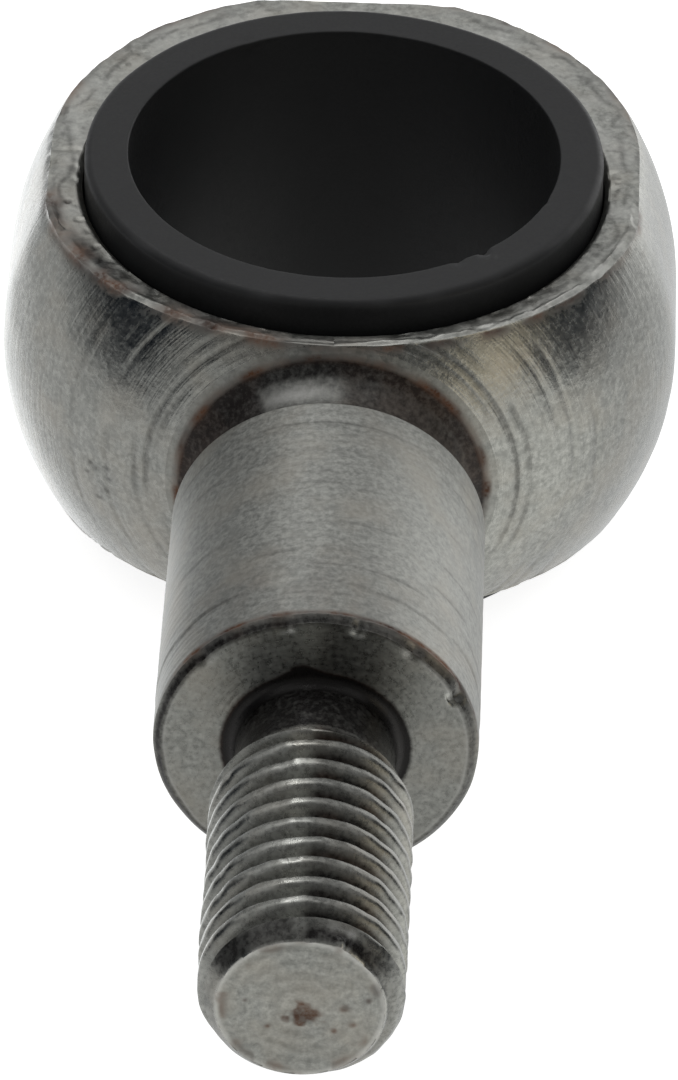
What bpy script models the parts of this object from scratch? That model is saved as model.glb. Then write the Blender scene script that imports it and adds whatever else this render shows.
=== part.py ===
"""Rod end bearing: a turned steel eye bolt with a black plastic bearing bush in its eye.

The part's own frame has its origin at the centre of the eye.  +Z is the axis of
the bush's bore, and the threaded stud points along -Y.  Lengths are in
millimetres until a mesh is made, and in metres from there on.
"""
import math

import bmesh
import bpy
from mathutils import Vector

MM = 0.001

# Bearing bush: a plain plastic sleeve that stands proud of both faces of the eye.
BUSH_BORE_RADIUS = 11.0
BUSH_OUTER_RADIUS = 13.25
BUSH_HALF_HEIGHT = 10.2
BUSH_BORE_CHAMFER = 0.15
BUSH_EDGE_ROUND = 0.6
RIB_HEIGHT = 0.45
RIB_HALF_WIDTH = 1.5

# Running clearance between the bush and the eye, all round and beside the rib.
RADIAL_CLEARANCE = 0.08
RIB_SIDE_CLEARANCE = 0.15
EYE_BORE_CHAMFER = 0.3

# Eye: a turned head whose two sides are cut flat.  Its outline is a straight band
# between two arcs; places are distances along Y, radii are from the shank's axis.
EYE_HALF_THICKNESS = 8.4
EYE_RADIUS = 17.25
EYE_REAR_Y = 16.5
EYE_REAR_FACE_RADIUS = 9.9
EYE_BAND_REAR_Y = 4.0
EYE_REAR_ARC_RADIUS = 16.8
EYE_BAND_FRONT_Y = -3.4
EYE_FRONT_ARC_RADIUS = 16.0

# Neck: a round-nosed groove between the eye and the shank.
NECK_REAR_Y = -14.7
NECK_FRONT_Y = -18.6
NECK_REAR_RADIUS = 7.83
NECK_FRONT_RADIUS = 7.85
NECK_GROOVE_RADIUS = 2.05

# Shank, which widens a little from the neck to the shoulder.
SHANK_RADIUS = 7.98
SHOULDER_Y = -36.3
SHOULDER_CHAMFER = 0.35

# Stud: M10 x 1.5, right-handed, with an undercut beside the shoulder.
THREAD_RADIUS = 5.0
THREAD_PITCH = 1.5
THREAD_DEPTH = 0.92
THREAD_PHASE = 0.367
CREST_SHARE = 1 / 8
ROOT_SHARE = 1 / 4
UNDERCUT_RADIUS = 3.9
UNDERCUT_FILLET = 0.56
UNDERCUT_LENGTH = 3.6
THREAD_START_RADIUS = 3.7
STUD_END_Y = -56.3
STUD_END_RADIUS = 4.0
STUD_END_CHAMFER = 1.15
CORE_OVERLAP = 3.4
BLANK_MARGIN = 0.2
BLANK_OVERRUN = 3.0

# Fineness of the round shapes.
TURNED_STEPS = 64
BUSH_STEPS = 64
THREAD_STEPS = 32
ARC_STEPS = 9
SMALL_ARC_STEPS = 4
MERGE_DISTANCE = 1e-7
SMOOTH_ANGLE = math.radians(28)

ALONG_Y = Vector((0, 1, 0))
ALONG_Z = Vector((0, 0, 1))


def clear_scene():
    for obj in list(bpy.data.objects):
        bpy.data.objects.remove(obj, do_unlink=True)


def make_material(name, colour, metallic, roughness):
    material = bpy.data.materials.new(name)
    material.use_nodes = True
    surface = material.node_tree.nodes["Principled BSDF"]
    surface.inputs["Base Color"].default_value = (*colour, 1)
    surface.inputs["Metallic"].default_value = metallic
    surface.inputs["Roughness"].default_value = roughness
    material.diffuse_color = (*colour, 1)
    return material


def arc(start, end, radius, steps):
    """Points of a round arc between two profile points.

    A positive radius puts the centre on the left of the way from start to end, and a
    negative one on its right.
    """
    first = Vector(start)
    last = Vector(end)
    chord = last - first
    depth = math.sqrt(radius ** 2 - (chord.length / 2) ** 2)
    left = Vector((-chord.y, chord.x)).normalized()
    centre = (first + last) / 2 + left * math.copysign(depth, radius)
    begin = math.atan2(first.y - centre.y, first.x - centre.x)
    sweep = 2 * math.asin(chord.length / 2 / radius)
    points = []
    for step in range(steps + 1):
        angle = begin + sweep * step / steps
        along = centre.x + abs(radius) * math.cos(angle)
        out = centre.y + abs(radius) * math.sin(angle)
        points.append((along, out))
    return points


def link_object(name, bm):
    bmesh.ops.recalc_face_normals(bm, faces=bm.faces)
    mesh = bpy.data.meshes.new(name)
    bm.to_mesh(mesh)
    bm.free()
    obj = bpy.data.objects.new(name, mesh)
    bpy.context.scene.collection.objects.link(obj)
    return obj


def turn(name, profile, axis, steps, ring=False):
    """Spin a profile of (distance along the axis, radius) pairs into a closed solid."""
    outward = Vector((1, 0, 0))
    bm = bmesh.new()
    verts = [bm.verts.new((axis * along + outward * out) * MM) for along, out in profile]
    edges = [bm.edges.new(pair) for pair in zip(verts, verts[1:])]
    if ring:
        edges.append(bm.edges.new((verts[-1], verts[0])))
    bmesh.ops.spin(bm, geom=verts + edges, cent=(0, 0, 0), axis=axis,
                   angle=2 * math.pi, steps=steps, use_merge=True)
    bmesh.ops.remove_doubles(bm, verts=bm.verts, dist=MERGE_DISTANCE)
    return link_object(name, bm)


def cut(target, tool, operation):
    """Shape target by tool with an exact Boolean, then keep only the result."""
    boolean = target.modifiers.new(tool.name, "BOOLEAN")
    boolean.operation = operation
    boolean.solver = "EXACT"
    boolean.object = tool
    tool.hide_render = True
    tool.display_type = "WIRE"
    graph = bpy.context.evaluated_depsgraph_get()
    graph.update()
    result = bpy.data.meshes.new_from_object(target.evaluated_get(graph))
    target.modifiers.clear()
    target.data = result
    bpy.data.objects.remove(tool, do_unlink=True)


def finish(obj, material):
    obj.data.shade_smooth()
    obj.data.set_sharp_from_angle(angle=SMOOTH_ANGLE)
    obj.data.materials.clear()
    obj.data.materials.append(material)


def eye_profile():
    """The turned outline of the eye, from its rear face to the neck."""
    rear = arc((EYE_REAR_Y, EYE_REAR_FACE_RADIUS), (EYE_BAND_REAR_Y, EYE_RADIUS),
               EYE_REAR_ARC_RADIUS, ARC_STEPS)
    front = arc((EYE_BAND_FRONT_Y, EYE_RADIUS), (NECK_REAR_Y, NECK_REAR_RADIUS),
                EYE_FRONT_ARC_RADIUS, ARC_STEPS)
    return [(EYE_REAR_Y, 0)] + rear + front


def shank_profile():
    """The neck groove, the shank, its shoulder face and the undercut of the stud."""
    groove = arc((NECK_REAR_Y, NECK_REAR_RADIUS), (NECK_FRONT_Y, NECK_FRONT_RADIUS),
                 -NECK_GROOVE_RADIUS, ARC_STEPS)
    fillet = arc((SHOULDER_Y, UNDERCUT_RADIUS + UNDERCUT_FILLET),
                 (SHOULDER_Y - UNDERCUT_FILLET, UNDERCUT_RADIUS),
                 -UNDERCUT_FILLET, SMALL_ARC_STEPS)
    core_end_y = SHOULDER_Y - UNDERCUT_LENGTH - CORE_OVERLAP
    return [
        *groove[1:],
        (SHOULDER_Y + SHOULDER_CHAMFER, SHANK_RADIUS),
        (SHOULDER_Y, SHANK_RADIUS - SHOULDER_CHAMFER),
        *fillet,
        (core_end_y, UNDERCUT_RADIUS),
        (core_end_y, 0),
    ]


def make_thread_blank():
    """A closed right-handed helical thread, longer at both ends than the stud."""
    flank = (1 - CREST_SHARE - ROOT_SHARE) / 2
    root = THREAD_RADIUS - THREAD_DEPTH
    section = [
        (0, THREAD_RADIUS),
        (CREST_SHARE, THREAD_RADIUS),
        (CREST_SHARE + flank, root),
        (CREST_SHARE + flank + ROOT_SHARE, root),
    ]
    low = STUD_END_Y - BLANK_OVERRUN + THREAD_PHASE * THREAD_PITCH
    high = SHOULDER_Y - UNDERCUT_LENGTH + BLANK_OVERRUN
    turns = math.ceil((high - low) / THREAD_PITCH)
    bm = bmesh.new()
    rows = []
    for step in range((turns + 1) * THREAD_STEPS + 1):
        angle = 2 * math.pi * step / THREAD_STEPS
        base = low + THREAD_PITCH * step / THREAD_STEPS
        row = []
        for share, out in section:
            along = base + share * THREAD_PITCH
            place = Vector((out * math.sin(angle), along, out * math.cos(angle)))
            row.append(bm.verts.new(place * MM))
        rows.append(row)
    last = len(rows) - 1 - THREAD_STEPS
    strips = [rows[step] + [rows[step + THREAD_STEPS][0]] for step in range(last + 1)]
    for before, after in zip(strips, strips[1:]):
        for corner in range(len(section)):
            bm.faces.new((before[corner], after[corner], after[corner + 1], before[corner + 1]))
    low_rim = [row[0] for row in rows[:THREAD_STEPS + 1]] + strips[0][-2:0:-1]
    high_rim = [row[0] for row in rows[last:]] + strips[-1][-2:0:-1]
    for rim, along in ((low_rim, low), (high_rim, low + turns * THREAD_PITCH)):
        hub = bm.verts.new((0, (along + THREAD_PITCH / 2) * MM, 0))
        for first, second in zip(rim, rim[1:] + rim[:1]):
            bm.faces.new((first, second, hub))
    unused = [vert for vert in bm.verts if not vert.link_faces]
    bmesh.ops.delete(bm, geom=unused, context="VERTS")
    return link_object("thread_blank", bm)


def make_stud():
    """The threaded length: the blank trimmed to chamfered ends."""
    start_y = SHOULDER_Y - UNDERCUT_LENGTH
    outside = THREAD_RADIUS + BLANK_MARGIN
    run_in = outside - THREAD_START_RADIUS
    end_slope = STUD_END_CHAMFER / (THREAD_RADIUS - STUD_END_RADIUS)
    run_out = (outside - STUD_END_RADIUS) * end_slope
    envelope = turn("stud_envelope", [
        (start_y, 0),
        (start_y, THREAD_START_RADIUS),
        (start_y - run_in, outside),
        (STUD_END_Y + run_out, outside),
        (STUD_END_Y, STUD_END_RADIUS),
        (STUD_END_Y, 0),
    ], ALONG_Y, TURNED_STEPS)
    stud = make_thread_blank()
    cut(stud, envelope, "INTERSECT")
    return stud


def make_flats():
    """The slab that the eye's two flat faces lie on."""
    width = 4 * EYE_RADIUS
    length = 4 * abs(STUD_END_Y)
    bm = bmesh.new()
    bmesh.ops.create_cube(bm, size=2)
    half_sizes = Vector((width, length, EYE_HALF_THICKNESS)) * MM
    bmesh.ops.scale(bm, vec=half_sizes, verts=bm.verts)
    return link_object("flats", bm)


def make_eye_bore():
    """The hole that the bush turns in, with the groove for the bush's rib."""
    bore = BUSH_OUTER_RADIUS + RADIAL_CLEARANCE
    groove = bore + RIB_HEIGHT
    groove_half = RIB_HALF_WIDTH + RIB_SIDE_CLEARANCE
    mouth = bore + EYE_BORE_CHAMFER
    overrun = EYE_HALF_THICKNESS + 1
    half = [
        (groove_half, groove),
        (groove_half + RIB_HEIGHT, bore),
        (EYE_HALF_THICKNESS - EYE_BORE_CHAMFER, bore),
        (EYE_HALF_THICKNESS, mouth),
        (overrun, mouth),
        (overrun, 0),
    ]
    mirrored = [(-along, out) for along, out in reversed(half)]
    return turn("eye_bore", mirrored + half, ALONG_Z, BUSH_STEPS)


def make_eye_bolt(material):
    profile = eye_profile() + shank_profile()
    body = turn("eye_bolt", profile, ALONG_Y, TURNED_STEPS)
    cut(body, make_flats(), "INTERSECT")
    cut(body, make_eye_bore(), "DIFFERENCE")
    cut(body, make_stud(), "UNION")
    finish(body, material)


def make_bush(material):
    rim_radius = BUSH_OUTER_RADIUS - BUSH_EDGE_ROUND
    edge = arc((BUSH_HALF_HEIGHT - BUSH_EDGE_ROUND, BUSH_OUTER_RADIUS),
               (BUSH_HALF_HEIGHT, rim_radius), -BUSH_EDGE_ROUND, SMALL_ARC_STEPS)
    upper = [
        (RIB_HALF_WIDTH, BUSH_OUTER_RADIUS + RIB_HEIGHT),
        (RIB_HALF_WIDTH + RIB_HEIGHT, BUSH_OUTER_RADIUS),
        *edge,
        (BUSH_HALF_HEIGHT, BUSH_BORE_RADIUS + BUSH_BORE_CHAMFER),
        (BUSH_HALF_HEIGHT - BUSH_BORE_CHAMFER, BUSH_BORE_RADIUS),
    ]
    lower = [(-along, out) for along, out in reversed(upper)]
    bush = turn("bearing_bush", upper + lower, ALONG_Z, BUSH_STEPS, ring=True)
    finish(bush, material)


def main():
    clear_scene()
    steel = make_material("turned_steel", (0.42, 0.41, 0.40), 1.0, 0.42)
    plastic = make_material("black_plastic", (0.035, 0.036, 0.038), 0.0, 0.5)
    make_eye_bolt(steel)
    make_bush(plastic)


main()
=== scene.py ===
import itertools
import math

import bpy
import numpy as np
from mathutils import Matrix, Vector


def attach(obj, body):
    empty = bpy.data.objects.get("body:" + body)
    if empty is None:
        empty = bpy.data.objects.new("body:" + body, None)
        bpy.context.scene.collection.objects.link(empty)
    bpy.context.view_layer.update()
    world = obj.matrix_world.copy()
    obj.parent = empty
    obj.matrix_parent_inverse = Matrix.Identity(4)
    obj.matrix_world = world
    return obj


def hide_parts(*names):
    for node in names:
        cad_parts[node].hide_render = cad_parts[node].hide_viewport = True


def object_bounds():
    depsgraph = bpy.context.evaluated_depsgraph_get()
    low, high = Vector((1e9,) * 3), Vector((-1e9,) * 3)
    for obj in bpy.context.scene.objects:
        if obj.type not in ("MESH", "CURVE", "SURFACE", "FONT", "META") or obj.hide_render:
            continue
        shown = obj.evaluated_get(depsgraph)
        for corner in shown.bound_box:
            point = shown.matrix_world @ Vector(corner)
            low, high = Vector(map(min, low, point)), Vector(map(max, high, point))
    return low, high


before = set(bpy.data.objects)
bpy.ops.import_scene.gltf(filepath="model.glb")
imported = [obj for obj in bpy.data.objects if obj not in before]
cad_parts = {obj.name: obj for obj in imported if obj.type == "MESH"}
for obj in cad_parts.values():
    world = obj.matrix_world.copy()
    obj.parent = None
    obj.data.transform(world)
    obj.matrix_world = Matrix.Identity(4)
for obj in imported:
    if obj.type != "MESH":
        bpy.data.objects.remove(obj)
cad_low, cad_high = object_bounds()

MM = 0.001
DEGREE = math.pi / 180
TINY = 1e-4

# Bush.
BUSH_BORE = 11.0
BUSH_MIDDLE = 12.0
BUSH_OUTER = 13.25
BUSH_HALF = 10.2
BUSH_BORE_CHAMFER = 0.08
BUSH_EDGE = 0.45
RIB_HEIGHT = 0.45
RIB_HALF = 1.5

# Eye and its bore.  The bore's wall is inside OUTSIDE_BORE, round the bush's axis, and the
# tool marks on the eye are in front of EYE_FRONT_Y.
CLEARANCE = 0.08
RIB_SIDE_CLEARANCE = 0.15
BORE_CHAMFER = 0.3
BORE_RADIUS = BUSH_OUTER + CLEARANCE
OUTSIDE_BORE = BUSH_OUTER + 0.5
FLAT = 8.4
EYE_RADIUS = 17.25
REAR_Y = 16.5
REAR_FACE_RADIUS = 9.9
BAND_REAR_Y = 4.0
REAR_ARC = 16.8
BAND_FRONT_Y = -3.4
FRONT_ARC = 16.0
EYE_FRONT_Y = -8.0

# Neck, whose two ends are (y, radius), shank and shoulder.  The neck's dirt reaches out to
# NECK_REACH, and the shank's side is what lies beyond SHANK_SIDE_RADIUS.
NECK_REAR = (-14.7, 7.83)
NECK_FRONT = (-18.6, 7.85)
NECK_GROOVE = 2.05
NECK_REACH = 8.0
SHANK_RADIUS = 7.98
SHANK_SIDE_RADIUS = 7.5
SHOULDER_Y = -36.3
SHOULDER_CHAMFER = 0.35
UNDERCUT_RADIUS = 3.9
UNDERCUT_FILLET = 0.56
UNDERCUT_LENGTH = 3.6

# Stud.  A crest is flat over CREST_HALF of half the pitch, to each side.
THREAD_RADIUS = 5.0
THREAD_PITCH = 1.5
THREAD_DEPTH = 0.92
THREAD_START_RADIUS = 3.7
THREAD_START_Y = SHOULDER_Y - UNDERCUT_LENGTH
CREST_HALF = 0.18
CREST_Y = -55.655
STUD_END_Y = -56.3
STUD_END_RADIUS = 4.0
STUD_END_CHAMFER = 1.15

# Wear.  Deeper tool marks on the front of the eye, as (radius, depth, dirt).
TURNING_GROOVES = ((8.9, 0.04, 0.5), (9.35, 0.06, 0.7), (10.0, 0.05, 0.5), (11.6, 0.06, 0.2),
                   (12.3, 0.04, 0.15), (13.4, 0.05, 0.25))

# Lines that the tool left round the shank, as (y, depth), the feed of its last cut, and
# how far from the shoulder that cut stops.
SHANK_LINES = ((-20.2, 0.02), (-21.3, 0.015), (-22.7, 0.02), (-25.1, 0.012), (-28.4, 0.015),
               (-30.7, 0.02), (-31.9, 0.02))
TOOL_FEED = 0.42
TOOL_STEP = 2.9

# Three pits in the flats, as (x, y), and the angle of the tallest tuft of their burr.
FLAT_PITS = ((-13.95, -2.6), (-12.3, -6.6), (-6.1, -13.1))
TUFT_ANGLE = -164

# Pits on the left of the eye, as (angle, y, size).
EYE_PITS = ((-97, -12.0, 0.20), (-99, -11.6, 0.13), (-103, -12.3, 0.18), (-95.5, -12.5, 0.12),
            (-106, -11.8, 0.11), (-99, -12.6, 0.12), (-96, -11.8, 0.15))

# Dents in the shoulder's edge, as (angle, size), and specks of rust on the stud's end,
# as (x, z, size).
SHOULDER_DENTS = ((-12, 0.16), (15.7, 0.18), (63.7, 0.22), (-47, 0.12), (38, 0.1))
END_SPECKS = ((2.1, 0.1, 0.22), (2.5, -0.9, 0.16), (1.6, -1.3, 0.14),
              (-1.5, -1.1, 0.13), (-2.6, 0.4, 0.12), (3.2, 0.6, 0.15))

# Dents in the bush's upper rim, as (angle from +X, size).  The first is the nick.
NICK_ANGLE = -48.9
BUSH_DENTS = ((NICK_ANGLE, 0.16), (-57, 0.08), (-20, 0.05), (118, 0.06))
BUSH_DENT_RADIUS = 11.1
NICK_RADIUS = 11.45

# Fineness of the meshes: steps in millimetres, counts of rows and columns, passes of
# softening, and steps per millimetre within which points are merged.
ROW_STEP = 0.13
COLUMNS = 150
RING_STEPS = 360
THREAD_ROWS = 16
END_ROWS = 49
FLAT_ROWS = 16
REAR_ROWS = 70
REAR_COLUMNS = 60
NOISE_CELLS = 48
EYE_SOFTENING = 60
WELD_STEPS = 2000
SHARP_ANGLE = 40 * DEGREE

# Kinds of surface on the bolt, and their steels in the same order, as (name, tone,
# roughness, strength of the turning marks, strength of the grain, anisotropy).
EYE, SHANK, SHOULDER, SAWN, THREAD, FACED, BORE = range(7)
STEELS = (
    ("steel_eye", 0.38, 0.23, 0.6, 0.35, 0.35),
    ("steel_shank", 0.38, 0.46, 0.18, 0.28, 0.15),
    ("steel_shoulder", 0.39, 0.28, 0.5, 0.25, 0.85),
    ("steel_sawn", 0.40, 0.47, 0.0, 0.5, 0.0),
    ("steel_thread", 0.40, 0.27, 0.2, 0.3, 0.80),
    ("steel_faced", 0.52, 0.50, 0.4, 0.5, 0.2),
    ("steel_bore", 0.25, 0.50, 0.0, 0.5, 0.0),
)

# Tints that a steel's tone is multiplied by, and the other colours.
BRIGHT = (1.12, 1.13, 1.06)
DULL = (0.62, 0.63, 0.59)
WARM = (1.0, 0.93, 0.80)
# Bare metal and painted highlights.
BARE_AND_HIGHLIGHT = (1.55, 1.55, 1.48)
# Dirt and painted shade.
DIRT_AND_SHADE = (0.014, 0.0125, 0.012, 1)
RUST_DEEP = (0.055, 0.024, 0.015, 1)
RUST_PALE = (0.17, 0.075, 0.036, 1)
PLASTIC_DARK = (0.0145, 0.0148, 0.0155, 1)
PLASTIC_LIGHT = (0.0210, 0.0215, 0.0225, 1)
PLASTIC_CLOUD = (0.0120, 0.0123, 0.0130, 1)
PLASTIC_FACE = (0.0190, 0.0195, 0.0205, 1)
# Scuffs on the bush, and the painted highlight along its rim's outer edge.
PLASTIC_SCUFF_AND_HIGHLIGHT = (0.055, 0.056, 0.058, 1)

# Sockets of a mix node that mixes colours.
MIX_FIRST = 6
MIX_SECOND = 7
MIX_RESULT = 2

# The floor, in metres: how far below the part it lies, and half its width.
FLOOR_GAP = 0.0001
FLOOR_HALF = 1.5

# Studio surroundings: brightness by height of the direction, from straight down at -1 to
# straight up at 1, and then patches of (direction, outer and inner angle, colour).
HEIGHT_SHADES = (
    (-1, 0.80), (-0.5, 0.78), (-0.12, 0.72), (0, 0.5), (0.07, 0.22), (0.14, 0.06),
    (0.3, 0.10), (0.45, 0.48), (0.7, 0.55), (1, 0.7),
)
SKY_PATCHES = (
    ((0.05, -0.62, 0.78), 36, 16, (0.20, 0.20, 0.20, 1)),
    ((0, 0.85, -0.5), 55, 25, (0.95, 0.96, 0.97, 1)),
    ((0.6, 0.8, 0.08), 32, 14, (1.50, 1.50, 1.50, 1)),
    ((-0.6, 0.8, -0.05), 24, 10, (0.50, 0.51, 0.52, 1)),
    ((-0.37, 0.8, -0.55), 22, 9, (1.75, 1.77, 1.8, 1)),
    ((0.6, -0.5, -0.62), 44, 20, (1.12, 1.12, 1.09, 1)),
    ((0, -0.85, -0.5), 42, 18, (0.55, 0.55, 0.54, 1)),
    ((-0.93, -0.34, 0.16), 32, 14, (0.012, 0.018, 0.028, 1)),
    ((0.98, -0.12, 0.16), 30, 14, (0.045, 0.050, 0.058, 1)),
    ((-0.62, -0.79, 0.03), 16, 7, (0.60, 0.60, 0.59, 1)),
    ((0.2, -0.95, 0.2), 32, 16, (0.15, 0.15, 0.146, 1)),
    ((0.74, -0.67, 0.08), 14, 6, (1.2, 1.08, 0.85, 1)),
)


# ---------------------------------------------------------------- outlines

def arc_centre(start, end, radius):
    """The centre of a round arc, on the left of its way if the radius is positive."""
    first = Vector(start)
    chord = Vector(end) - first
    depth = math.sqrt(radius ** 2 - (chord.length / 2) ** 2)
    left = Vector((-chord.y, chord.x)).normalized()
    return first + chord / 2 + left * math.copysign(depth, radius)


def arc(start, end, radius, step=ROW_STEP):
    """Points of a round arc.  A positive radius has its centre on the left."""
    centre = arc_centre(start, end, radius)
    begin = math.atan2(start[1] - centre.y, start[0] - centre.x)
    sweep = 2 * math.asin((Vector(end) - Vector(start)).length / 2 / radius)
    count = max(4, round(abs(sweep * radius) / step))
    angles = begin + sweep * np.linspace(0, 1, count + 1)
    return np.column_stack([centre.x + abs(radius) * np.cos(angles),
                            centre.y + abs(radius) * np.sin(angles)])


def line(start, end, step=ROW_STEP):
    """Evenly spaced points of a straight run."""
    count = max(2, round((Vector(end) - Vector(start)).length / step))
    share = np.linspace(0, 1, count + 1)[:, None]
    return np.array(start) * (1 - share) + np.array(end) * share


def softened(run, passes):
    """The run with its corners rounded, and its two ends left where they are."""
    soft = run.copy()
    for _ in range(passes):
        soft[1:-1] = (soft[:-2] + 2 * soft[1:-1] + soft[2:]) / 4
    return soft


def joined(*pieces):
    """One run of points from pieces that follow on from each other."""
    return np.vstack([pieces[0]] + [piece[1:] for piece in pieces[1:]])


# ---------------------------------------------------------------- skins

class Skin:
    """Grids of points that are welded into one mesh."""

    def __init__(self):
        self.points = []
        self.faces = []
        self.kinds = []
        self.count = 0

    def grid(self, points, kind, flip=False):
        """Adds a grid of points, of shape (rows, columns, 3), and its faces."""
        rows, columns = points.shape[:2]
        index = self.count + np.arange(rows * columns).reshape(rows, columns)
        corners = [index[:-1, :-1], index[:-1, 1:], index[1:, 1:], index[1:, :-1]]
        if flip:
            corners.reverse()
        quads = np.stack(corners, axis=-1).reshape(-1, 4)
        self.points.append(points.reshape(-1, 3))
        self.faces.append(quads)
        self.kinds.append(np.full(len(quads), kind))
        self.count += rows * columns

    def weld(self):
        """Merges points at the same place and drops the faces that collapse."""
        points = np.vstack(self.points)
        faces = np.vstack(self.faces)
        kinds = np.concatenate(self.kinds)
        keys = np.round(points * WELD_STEPS).astype(np.int64)
        _, first, lookup = np.unique(keys, axis=0, return_index=True, return_inverse=True)
        faces = lookup.reshape(-1)[faces]
        sides = (faces != np.roll(faces, 1, axis=1)).sum(axis=1)
        distinct = np.array([len(set(face)) for face in faces[sides < 4].tolist()])
        whole = faces[sides == 4].tolist()
        kept_kinds = kinds[sides == 4].tolist()
        for face, kind, number in zip(faces[sides < 4].tolist(),
                                      kinds[sides < 4].tolist(), distinct):
            if number == 3:
                whole.append([at for k, at in enumerate(face) if at != face[k - 1]])
                kept_kinds.append(kind)
        return points[first], whole, np.array(kept_kinds)


def make_mesh(name, points, faces, kinds, materials, marks):
    """An object of these faces, with a material for each kind and a value for each mark."""
    mesh = bpy.data.meshes.new(name)
    mesh.from_pydata((points * MM).tolist(), [], faces)
    for material in materials:
        mesh.materials.append(material)
    mesh.polygons.foreach_set("material_index", kinds.astype(np.int32))
    for mark, values in marks.items():
        layer = mesh.attributes.new(mark, "FLOAT", "POINT")
        layer.data.foreach_set("value", values.astype(np.float32))
    mesh.shade_smooth()
    mesh.set_sharp_from_angle(angle=SHARP_ANGLE)
    mesh.update()
    obj = bpy.data.objects.new(name, mesh)
    bpy.context.scene.collection.objects.link(obj)
    return obj


def noise(points, size, seed):
    """Smooth noise from -1 to 1 that varies over about size millimetres.

    Each seed has a pattern of its own, which is the same in every run.
    """
    table = np.random.default_rng(seed).uniform(-1, 1, (NOISE_CELLS,) * 3)
    cells = points / size
    base = np.floor(cells).astype(int)
    share = cells - base
    share = share * share * (3 - 2 * share)
    total = np.zeros(len(points))
    for corner in itertools.product((0, 1), repeat=3):
        picked = np.array(corner)
        weight = np.prod(np.where(picked, share, 1 - share), axis=1)
        at = (base + picked) % NOISE_CELLS
        total += weight * table[at[:, 0], at[:, 1], at[:, 2]]
    return total


def ramp(values, low, high):
    """0 below low, 1 above high, and smooth between; low may be above high."""
    share = np.clip((values - low) / (high - low), 0, 1)
    return share * share * (3 - 2 * share)


def hump(values, centre, width):
    """1 at the centre, falling smoothly to nothing about two widths away."""
    return np.exp(-((values - centre) / width) ** 2)


# ---------------------------------------------------------------- eye bolt

def turned_runs():
    """The turned outline: the eye to the flats' tip, the shank, and the shoulder."""
    centre = arc_centre((BAND_FRONT_Y, EYE_RADIUS), NECK_REAR, FRONT_ARC)
    tip_y = centre.x - math.sqrt(FRONT_ARC ** 2 - (FLAT - centre.y) ** 2)
    tip = (tip_y, FLAT)
    eye = softened(joined(
        arc((REAR_Y, REAR_FACE_RADIUS), (BAND_REAR_Y, EYE_RADIUS), REAR_ARC),
        line((BAND_REAR_Y, EYE_RADIUS), (BAND_FRONT_Y, EYE_RADIUS)),
        arc((BAND_FRONT_Y, EYE_RADIUS), tip, FRONT_ARC),
    ), EYE_SOFTENING)
    chamfer_y = SHOULDER_Y + SHOULDER_CHAMFER
    rim = SHANK_RADIUS - SHOULDER_CHAMFER
    shank = joined(
        arc(tip, NECK_REAR, FRONT_ARC),
        arc(NECK_REAR, NECK_FRONT, -NECK_GROOVE, 0.1),
        line(NECK_FRONT, (chamfer_y, SHANK_RADIUS)),
    )
    shoulder = joined(
        line((chamfer_y, SHANK_RADIUS), (SHOULDER_Y, rim), 0.06),
        line((SHOULDER_Y, rim), (SHOULDER_Y, UNDERCUT_RADIUS + UNDERCUT_FILLET), 0.1),
        arc((SHOULDER_Y, UNDERCUT_RADIUS + UNDERCUT_FILLET),
            (SHOULDER_Y - UNDERCUT_FILLET, UNDERCUT_RADIUS), -UNDERCUT_FILLET, 0.08),
        line((SHOULDER_Y - UNDERCUT_FILLET, UNDERCUT_RADIUS),
             (THREAD_START_Y, UNDERCUT_RADIUS), 0.15),
    )
    return eye, shank, shoulder


def round_points(along, radius, angle):
    """Points at a distance along Y, a radius and an angle, as arrays of one shape."""
    return np.stack([radius * np.sin(angle), along + 0 * angle,
                     radius * np.cos(angle)], axis=-1)


def turned_sides(skin, run, kind):
    """Both sides of a turned run, clear of the flats.  Returns the flats' outline."""
    along = run[:, :1]
    radius = run[:, 1:]
    first = np.arccos(np.clip(FLAT / radius, None, 1))
    share = np.linspace(0, 1, COLUMNS + 1)[None, :]
    angle = first + (math.pi - 2 * first) * share
    right = round_points(along, radius, angle)
    left = round_points(along, radius, -angle)
    skin.grid(right, kind)
    skin.grid(left, kind, flip=True)
    return right[:, 0, :2]


def thread_radius(along, angle):
    """The thread's own radius, before its ends are trimmed."""
    phase = (along - CREST_Y - THREAD_PITCH * angle / (2 * math.pi)) / THREAD_PITCH
    away = np.abs(phase - np.round(phase)) * 2
    depth = np.clip((away - CREST_HALF) / (1 - CREST_HALF), 0, 1)
    return THREAD_RADIUS - THREAD_DEPTH * (0.5 - 0.5 * np.cos(math.pi * depth))


def thread_skin(skin):
    """The thread, trimmed at both ends, and the disc at the stud's end."""
    angle = np.linspace(-math.pi, math.pi, 2 * COLUMNS + 1)[None, :]
    length = THREAD_START_Y - STUD_END_Y
    turns = math.ceil(length / THREAD_PITCH) + 3
    first = CREST_Y + math.ceil((THREAD_START_Y - CREST_Y) / THREAD_PITCH + 0.5) * THREAD_PITCH
    drop = np.arange(turns * THREAD_ROWS + 1)[:, None] / THREAD_ROWS * THREAD_PITCH
    along = first - drop + THREAD_PITCH * angle / (2 * math.pi)
    radius = thread_radius(along, angle + 0 * along)
    low = along < STUD_END_Y
    along = np.clip(along, STUD_END_Y, THREAD_START_Y)
    run_in = THREAD_START_RADIUS + (THREAD_START_Y - along)
    slope = (THREAD_RADIUS - STUD_END_RADIUS) / STUD_END_CHAMFER
    run_out = STUD_END_RADIUS + (along - STUD_END_Y) * slope
    radius = np.minimum(radius, np.minimum(run_in, run_out))
    radius = np.maximum(radius, np.where(run_in < THREAD_RADIUS, UNDERCUT_RADIUS, 0))
    radius = np.where(low, STUD_END_RADIUS, radius)
    skin.grid(round_points(along, radius, angle + 0 * along), THREAD)
    inward = np.linspace(1, 0, END_ROWS + 1)[:, None]
    disc = round_points(STUD_END_Y + 0 * inward, STUD_END_RADIUS * inward, angle)
    skin.grid(disc, FACED)


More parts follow.
